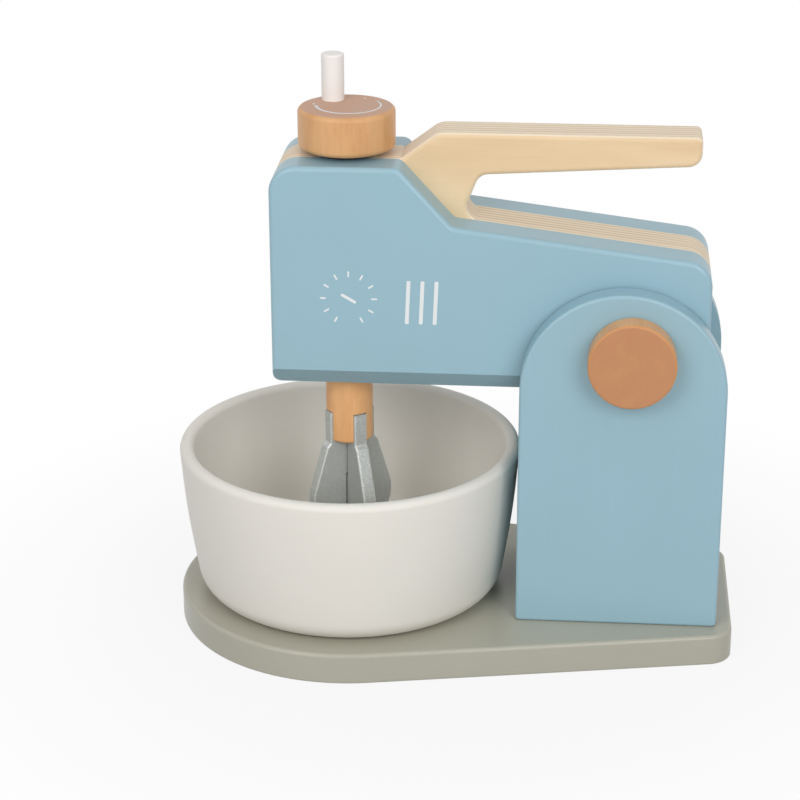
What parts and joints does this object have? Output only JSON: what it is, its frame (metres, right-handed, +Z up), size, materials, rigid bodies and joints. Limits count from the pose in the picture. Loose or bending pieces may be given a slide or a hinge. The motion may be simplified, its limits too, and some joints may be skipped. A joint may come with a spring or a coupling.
{
  "type": "toy stand mixer",
  "caption": "Wooden toy stand mixer with a tilting head, hook handle, crank-turned crossed-blade whisk, loose bowl and board base.",
  "frame": {"origin": "middle of the base's underside, halfway along the toy's length and on its plane of symmetry", "axes": "+Z up; -X towards the bowl and the head's nose, +X towards the posts; +Y towards the back, away from the printed side"},
  "size_m": [0.213, 0.132, 0.2191],
  "materials": {
    "blue_paint": "satin pale blue paint on solid board",
    "grey_paint": "satin warm grey paint on board",
    "white_paint": "matt off-white paint on turned wood",
    "silver_paint": "silver-grey metallic paint on board",
    "birch_plywood": "clear satin lacquer on plywood",
    "beech": "clear satin lacquer on turned beech",
    "screw_steel": "zinc plated",
    "felt": "pressed felt"
  },
  "bodies": {
    "stand": {"base_board": "grey_paint", "base_screws": "screw_steel", "front_post": "blue_paint", "rear_post": "blue_paint", "post_spacer": "blue_paint", "post_dowels": "beech", "head_rest_dowel": "beech", "pivot_dowel": "beech", "front_pivot_disc": "beech", "rear_pivot_disc": "beech"},
    "head": {"head_front_panel": "blue_paint", "head_core": "birch_plywood", "head_rear_panel": "blue_paint", "head_dowels": "beech", "knob_washer": "felt"},
    "whisk": {"crank_knob": "beech", "crank_peg": "white_paint", "drive_shaft": "beech", "whisk_holder": "beech", "whisk_blade_slotted_below": "silver_paint", "whisk_blade_slotted_above": "silver_paint"},
    "bowl": {"mixing_bowl": "white_paint"}
  },
  "joints": [
    {"name": "head_tilt", "type": "hinge", "parent": "stand", "child": "head", "pos_m": [0.0655, 0, 0.119], "axis": [0, 1, 0], "range_deg": [0, 45]},
    {"name": "whisk_spin", "type": "hinge", "parent": "head", "child": "whisk", "pos_m": [-0.0405, 0, 0.14], "axis": [0, 0, 1], "continuous": true},
    {"name": "bowl_lift", "type": "slide", "parent": "stand", "child": "bowl", "axis": [0, 0, 1], "range_m": [0, 0.0124]}
  ]
}
